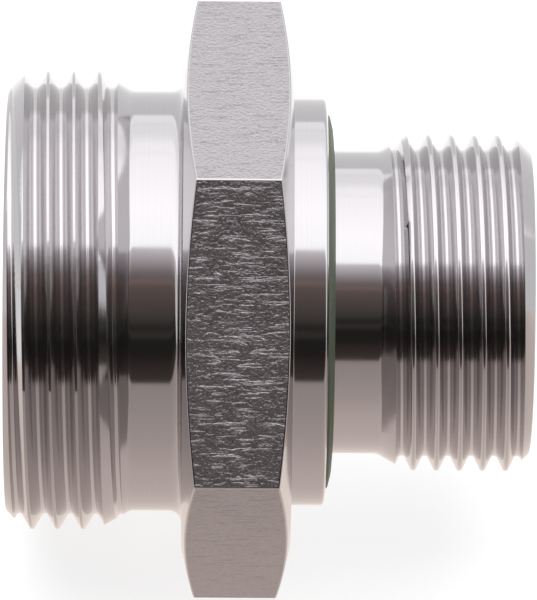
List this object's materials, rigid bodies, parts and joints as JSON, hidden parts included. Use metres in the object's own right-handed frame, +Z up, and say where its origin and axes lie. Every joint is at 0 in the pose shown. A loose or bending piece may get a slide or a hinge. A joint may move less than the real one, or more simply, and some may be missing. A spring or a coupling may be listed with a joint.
{
  "type": "male connector",
  "caption": "Straight male stud connector: a threaded cone end for tube, a hexagon, and a threaded stud whose collar holds a soft sealing ring.",
  "frame": {"origin": "on the connector's axis, in the plane of the collar's rim that closes on the port", "axes": "+X along the axis towards the stud, -X towards the tube end; +Z up, square to the flat of the hexagon that it lies on; +Y across the hexagon's corners"},
  "size_m": [0.041, 0.0474, 0.041],
  "materials": {
    "stainless": "bright turned stainless steel, with drawn bar on the hexagon's flats",
    "seal": "dull green fluororubber"
  },
  "bodies": {
    "root": {"connector_body": "stainless", "sealing_ring": "seal"}
  },
  "joints": []
}
